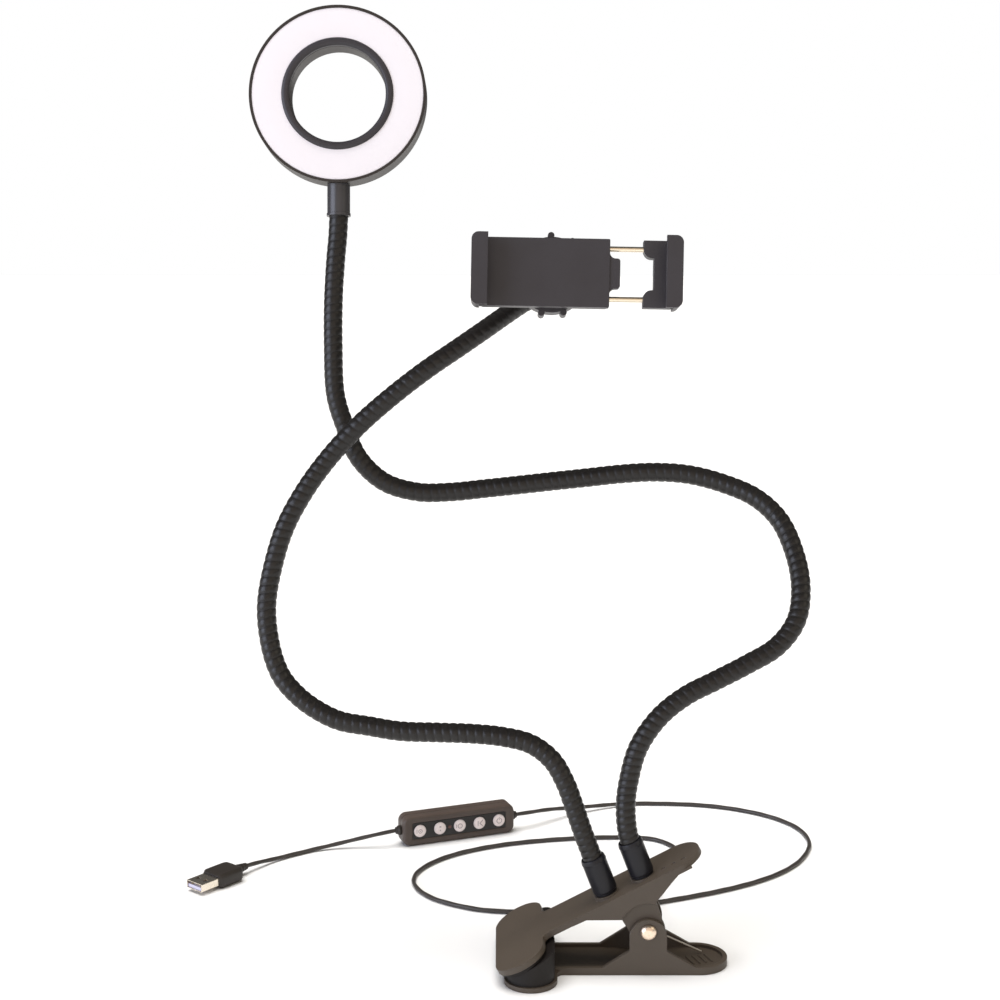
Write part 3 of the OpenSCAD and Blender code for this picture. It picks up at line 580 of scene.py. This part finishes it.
plugBody = [(r, r, r - 0.01, depth) for r, depth in plugRelief] + plugGrip
overmould = shapedPiece(
    "plugBody", loftRings(plugBody, lambda q: q[..., [2, 0, 1]], plugTurn, plugMiddle),
    looks["cordEnds"], "clamp", ("usb_overmould",), sharp=50)

print("plug and boots made")

# goosenecks
neckPlan = {"radius": 4.85 * mm, "pitch": 4.1 * mm, "endPitch": 3.1 * mm, "endRun": 42 * mm,
            "depth": 0.42 * mm, "farDepth": 0.22 * mm, "sides": 28, "ringsPerRib": 10}
lightRoute = np.array([
    [65, -3, 52], [61.3, -3, 63], [60.2, -1, 75], [61.6, 2, 87], [66.2, 5, 103],
    [76, 8, 117], [89, 11, 127], [104, 14, 134], [119, 17, 141], [134, 21, 149],
    [144, 26, 161], [147, 34, 176], [145, 44, 191], [139, 54, 205], [128, 62, 215],
    [113, 68, 221], [96, 72, 225], [79, 74, 226], [62, 75, 225], [45, 76, 223],
    [28, 77, 221], [10, 77, 219], [-7, 78, 217], [-25, 79, 215], [-42, 79, 215],
    [-59, 80, 220], [-72, 82, 232], [-79, 84, 248], [-84, 87, 265], [-85, 91, 288],
    [-85, 96, 311], [-84, 101, 331], [-83, 104, 343], [-82.5, 106, 354],
    [-82.5, 107.2, 361]]) * mm
phoneRoute = np.array([
    [47.5, -3, 43], [43.3, -3, 54], [39.2, -2, 65], [35.4, 0, 76], [31.2, 2, 87],
    [25, 5, 97], [15, 8, 104], [2, 10, 107], [-13, 12, 108], [-30, 14, 108],
    [-48, 16, 108], [-64, 18, 110], [-78, 20, 112], [-90, 23, 117], [-100, 26, 124],
    [-108, 30, 133], [-113, 34, 147], [-115, 39, 165], [-112, 44, 184], [-106, 48, 203],
    [-96, 52, 221], [-84, 55, 237], [-70, 56, 252], [-54, 57, 266], [-37, 59, 279],
    [-21, 65, 289.5], [-8, 71, 298], [2, 78, 304.5], [10, 83.5, 309.5], [16.5, 85, 313.3],
    [19.8, 80.5, 315.6], [20.8, 73.5, 317.2], [21.8, 67.6, 319.4]]) * mm
# route points where a length starts and ends, the two bodies it joins, and where its bend begins and is over
neckSections = {
    "lightNeckBase": (lightRoute, 0, 7, "clamp", "light_lower", 1.6, 4.6,
                      ("light_neck_root", "light_neck_lower")),
    "lightNeckSide": (lightRoute, 7, 19, "light_lower", "light_middle", 9.5, 12.6, ("light_neck_middle",)),
    "lightNeckTop": (lightRoute, 19, 29, "light_middle", "light_upper", 25.6, 28.3, ("light_neck_upper",)),
    "lightNeckHead": (lightRoute, 29, 34, "light_upper", "ring_head", 29.8, 32.2, ("light_neck_head",)),
    "phoneNeckBase": (phoneRoute, 0, 10, "clamp", "phone_lower", 1.6, 4.6,
                      ("phone_neck_root", "phone_neck_lower")),
    "phoneNeckTop": (phoneRoute, 10, 32, "phone_lower", "phone_upper", 15.4, 18.6, ("phone_neck_upper",)),
}


def neckSection(name, route, start, stop, bodyA, bodyB, bendStart, bendStop, replaced):
    # beads 1 - |x|^3 in each pitch of a spiral, x from -1 to 1; the pitch is shorter beside the clamp
    before = evenRoute(route, 0, start, 0.5 * mm)[1][-1] if start else 0.0
    whole = evenRoute(route, 0, len(route) - 1, 0.5 * mm)[1][-1]
    centre, s = evenRoute(route, start, stop, neckPlan["pitch"] / neckPlan["ringsPerRib"])
    s = s + before
    near, far = neckPlan["endPitch"], neckPlan["pitch"]
    blendIn = neckPlan["endRun"]
    turns = s / far + (1 / near - 1 / far) * blendIn * (1 - np.exp(-s / blendIn))
    a = np.arange(neckPlan["sides"]) / neckPlan["sides"]
    x = 2 * ((turns[:, None] + a[None]) % 1.0) - 1
    bead = 1 - np.abs(x) ** 3
    depth = neckPlan["depth"] + (neckPlan["farDepth"] - neckPlan["depth"]) * (s / whole)[:, None] ** 2
    rings = tubeRings(centre, neckPlan["radius"] - depth * (1 - bead), neckPlan["sides"], (0, 1, 0.02))
    neck = shapedPiece(name, rings, looks["gooseneck"], None, replaced, chart=s, crest=bead,
                       sharp=75)
    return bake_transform(neck)


for name, section in neckSections.items():
    neckSection(name, *section)
print("goosenecks wound")

# sleeves
sleevePlan = {"light": ((69, -3, 41.5), 19.5), "phone": ((51.5, -3, 32.6), 20)}


def threadRun(start, stop, radius, pitch):
    # crests at every pitch and roots between them, going down the stub
    h = np.arange(start, stop, -pitch / 2)
    return np.stack([radius - 0.28 * (np.arange(len(h)) % 2), h], 1).tolist()


for name, (base, length) in sleevePlan.items():
    outside = [[1.5, length - 9], [5.08, length - 9], [5.08, length], [5.75, length], [6.22, length - 2.2],
               [6.05, length - 2.6], [6.0, length - 2.7], [6.0, 2.6], [5.75, 2.45], [5.6, 2.3], [5.6, 1.0],
               [3.0, 0.9]] + threadRun(0.6, -9.3, 3.0, 0.8) + [[2.6, -9.5], [1.4, -9.5]]
    rings = latheRings(softCorners(outside[:12], 0.4, 4).tolist() + outside[12:], aimed(sleeveLean), base, 48)
    shapedPiece(name + "SleeveTurned", rings, looks["sleeve"], "clamp", (name + "_sleeve",),
                looped=True)

ballMiddle = holderMiddle + 17 * np.array([0, math.cos(math.radians(10)), -math.sin(math.radians(10))])
studWay = np.array([-0.2, 0.9, -0.39])
ballSleeve = [[3.02, 10.5], [5.5, 10.5], [6.0, 11.1], [6.0, 19.2], [6.1, 19.4], [6.0, 20.4], [5.6, 21],
              [5.15, 21], [5.15, 14.6], [3.02, 14.6]]
shapedPiece("ballSleeveTurned", latheRings(softCorners(ballSleeve, 0.35, 4), aimed(studWay), ballMiddle, 48),
            looks["sleeve"], "phone_upper", ("ball_sleeve",), looped=True)

# ring head
ringPlan = {"bore": 24.5, "bezelOut": 28.5, "glowOut": 43.6, "glowIn": 27.2, "sides": 160}
sheetProfile = [[ringPlan["glowIn"], -2.2], [ringPlan["glowIn"], -0.62], [27.6, -0.32]]
across = np.linspace(28.2, 43.0, 14)
sheetProfile += np.stack([across, -0.3 + 0.22 * np.sin((across - 28.2) / 14.8 * math.pi)], 1).tolist()
sheetProfile += [[43.45, -0.36], [ringPlan["glowOut"], -0.6], [ringPlan["glowOut"], -2.2]]
sheetWide = ringPlan["glowOut"] - ringPlan["glowIn"]
sheetChart = np.clip((np.array(sheetProfile)[:, 0] - ringPlan["glowIn"]) / sheetWide, 0, 1)
shapedPiece("glowSheet", latheRings(sheetProfile, ringTurn, ringMiddle, ringPlan["sides"]), looks["diffuser"],
            "ring_head", ("diffuser",), looped=True, chart=sheetChart)
bore, rim = ringPlan["bore"], ringPlan["bezelOut"]
bezelProfile = softCorners([[27.0, -2.35], [bore, -2.35], [bore, 0.1], [25.5, 1.0], [27.4, 1.0], [rim, 0.25],
                            [rim, -0.25], [27.1, -0.25], [27.1, -2.35], [27.0, -2.35]], 0.7, 6)
shapedPiece("bezelRing", latheRings(bezelProfile, ringTurn, ringMiddle, ringPlan["sides"]),
            looks["black_plastic"], "ring_head", ("ring_bezel",), looped=True)
print("ring head made")

# remote
# half width, half height, corner radius and depth, from the panel's recess round the rim to the seam
frontRows = [(28.5, 4.85, 0.8, 2.2), (28.5, 4.85, 0.8, 0.35), (28.65, 5.0, 0.95, 0.1),
             (28.9, 5.25, 1.1, 0.02), (32.2, 7.2, 3.0, 0.0), (32.9, 7.75, 3.5, 0.08),
             (33.45, 8.25, 3.95, 0.38), (33.85, 8.6, 4.25, 0.95), (34, 8.75, 4.4, 1.6),
             (34, 8.75, 4.4, 5.25), (33.85, 8.6, 4.25, 5.44), (33.5, 8.3, 4.0, 5.46),
             (31.4, 6.75, 2.5, 5.46), (31.4, 6.75, 2.5, 2.2)]
toRemote = lambda q: np.stack([q[..., 0], q[..., 2], q[..., 1] + remotePlan["middle"]], -1)
shapedPiece("remoteFront", loftRings(frontRows, toRemote, remoteTurn, remoteMiddle), looks["remote_plastic"],
            "clamp", ("remote_front",), looped=True, sharp=50)
keySigns = ["sun", "tone", "ring", "less", "power"]
domeEdge = 3.3
for k, sign in enumerate(keySigns):
    # a cap whose top is a shallow dome, its height falling as the square of the way out
    middle = np.array([remotePlan["buttons"] * (k - 2), 0, remotePlan["middle"]])
    out = np.linspace(0.02, domeEdge, 9)
    cap = [[4.4, 3.3], [4.4, 2.5], [3.55, 2.5], [3.55, -0.35], [3.5, -0.52]]
    cap += np.stack([out[::-1], -0.9 + 0.3 * (out[::-1] / domeEdge) ** 2], 1).tolist()
    rings = latheRings(cap, remoteTurn @ turned("X", -90), remoteMiddle + remoteTurn @ middle, 40)
    key = shapedPiece(f"key{k + 1}Cap", rings, keyFace(f"keyFace{k + 1}", keyLook, sign), f"key_{k + 1}",
                      (f"button_{k + 1}",), sharp=50)
    flat = (np.array([v.co for v in key.data.vertices]) / mm - remoteMiddle) @ remoteTurn - middle
    loops = np.zeros(len(key.data.loops), np.int32)
    key.data.loops.foreach_get("vertex_index", loops)
    chart = 0.5 + flat[loops][:, [0, 2]] / (2 * remotePlan["radius"])
    key.data.uv_layers["chart"].data.foreach_set("uv", chart.astype(np.float32).ravel())
print("remote made")

# rivet and spring
rivetPlan = {"radius": 2.5, "half": 14.7, "sides": 48}
springPlan = {"wire": 0.8, "legWire": 0.55, "radius": 5.2, "firstTurn": 143, "turnStep": 29.6, "steps": 52,
              "start": -5.5, "rise": 0.17, "sides": 12}
headProfile = softCorners([[3.85, 0.0], [3.85, 0.35], [3.3, 1.2], [2.2, 1.8], [1.1, 2.02], [0.75, 1.9],
                           [0.02, 1.8]], 0.5, 5).tolist()
farHead = [[r, -rivetPlan["half"] - 0.08 - h] for r, h in headProfile[::-1]]
nearHead = [[r, rivetPlan["half"] + 0.08 + h] for r, h in headProfile]
pin = [[rivetPlan["radius"], -rivetPlan["half"]], [rivetPlan["radius"], rivetPlan["half"]]]
rivetRings = latheRings(farHead + pin + nearHead, turned("X", -90), pivotMiddle, rivetPlan["sides"])
shapedPiece("rivetTurned", rivetRings, looks["rivetMetal"], "clamp", ("pivot_rivet",))

# the coil is pivot + (r cos a, start + rise n, r sin a) for a growing evenly with n
turns = np.linspace(0, springPlan["steps"], 420)
angle = np.radians(springPlan["firstTurn"] + springPlan["turnStep"] * turns)
coilPath = pivotMiddle + np.stack([springPlan["radius"] * np.cos(angle),
                                   springPlan["start"] + springPlan["rise"] * turns,
                                   springPlan["radius"] * np.sin(angle)], 1)
upperEnd = np.array([86.2, -5.5, 46.6])
upperLeg = np.linspace(0, 1, 24)[:-1, None] * (coilPath[0] - upperEnd) + upperEnd
coilRings = tubeRings(np.concatenate([upperLeg, coilPath]) * mm, springPlan["wire"] * mm, springPlan["sides"],
                      (0, 1, 0))
shapedPiece("springCoil", coilRings, looks["spring_wire"], "clamp", ("torsion_spring",),
            sharp=70)
legFrom, legTo = np.array([68.7, 5.3, 13.2]), np.array([98.6, 5.3, -0.7])
legWay = (legTo - legFrom) / np.linalg.norm(legTo - legFrom)
legPath = legFrom + np.linspace(0, 33, 30)[:, None] * legWay
legRings = tubeRings(legPath * mm, springPlan["legWire"] * mm, springPlan["sides"], (0, 1, 0))
shapedPiece("springLeg", legRings, looks["spring_wire"], "lower_jaw", ("spring_leg",),
            sharp=70)

# finishes on the parts carried over from CAD
byNode = {"guide_rods": "rodMetal", "usb_shell": "plugMetal", "usb_contacts": "contacts",
          "usb_tongue": "tongue", "lamp_lead": "cordEnds", "ring_housing": "ringShell",
          "ring_sleeve": "ringSleeve", "light_nut": "screw_steel", "phone_nut": "screw_steel"}
for name, node in cadNodes.items():
    slotName = node.data.materials[0].name if node.data.materials else "black_plastic"
    chosen = byNode.get(name, slotName.split(".")[0])
    node.data.materials.clear()
    node.data.materials.append(looks.get(chosen, looks["black_plastic"]))
print("finishes put on")
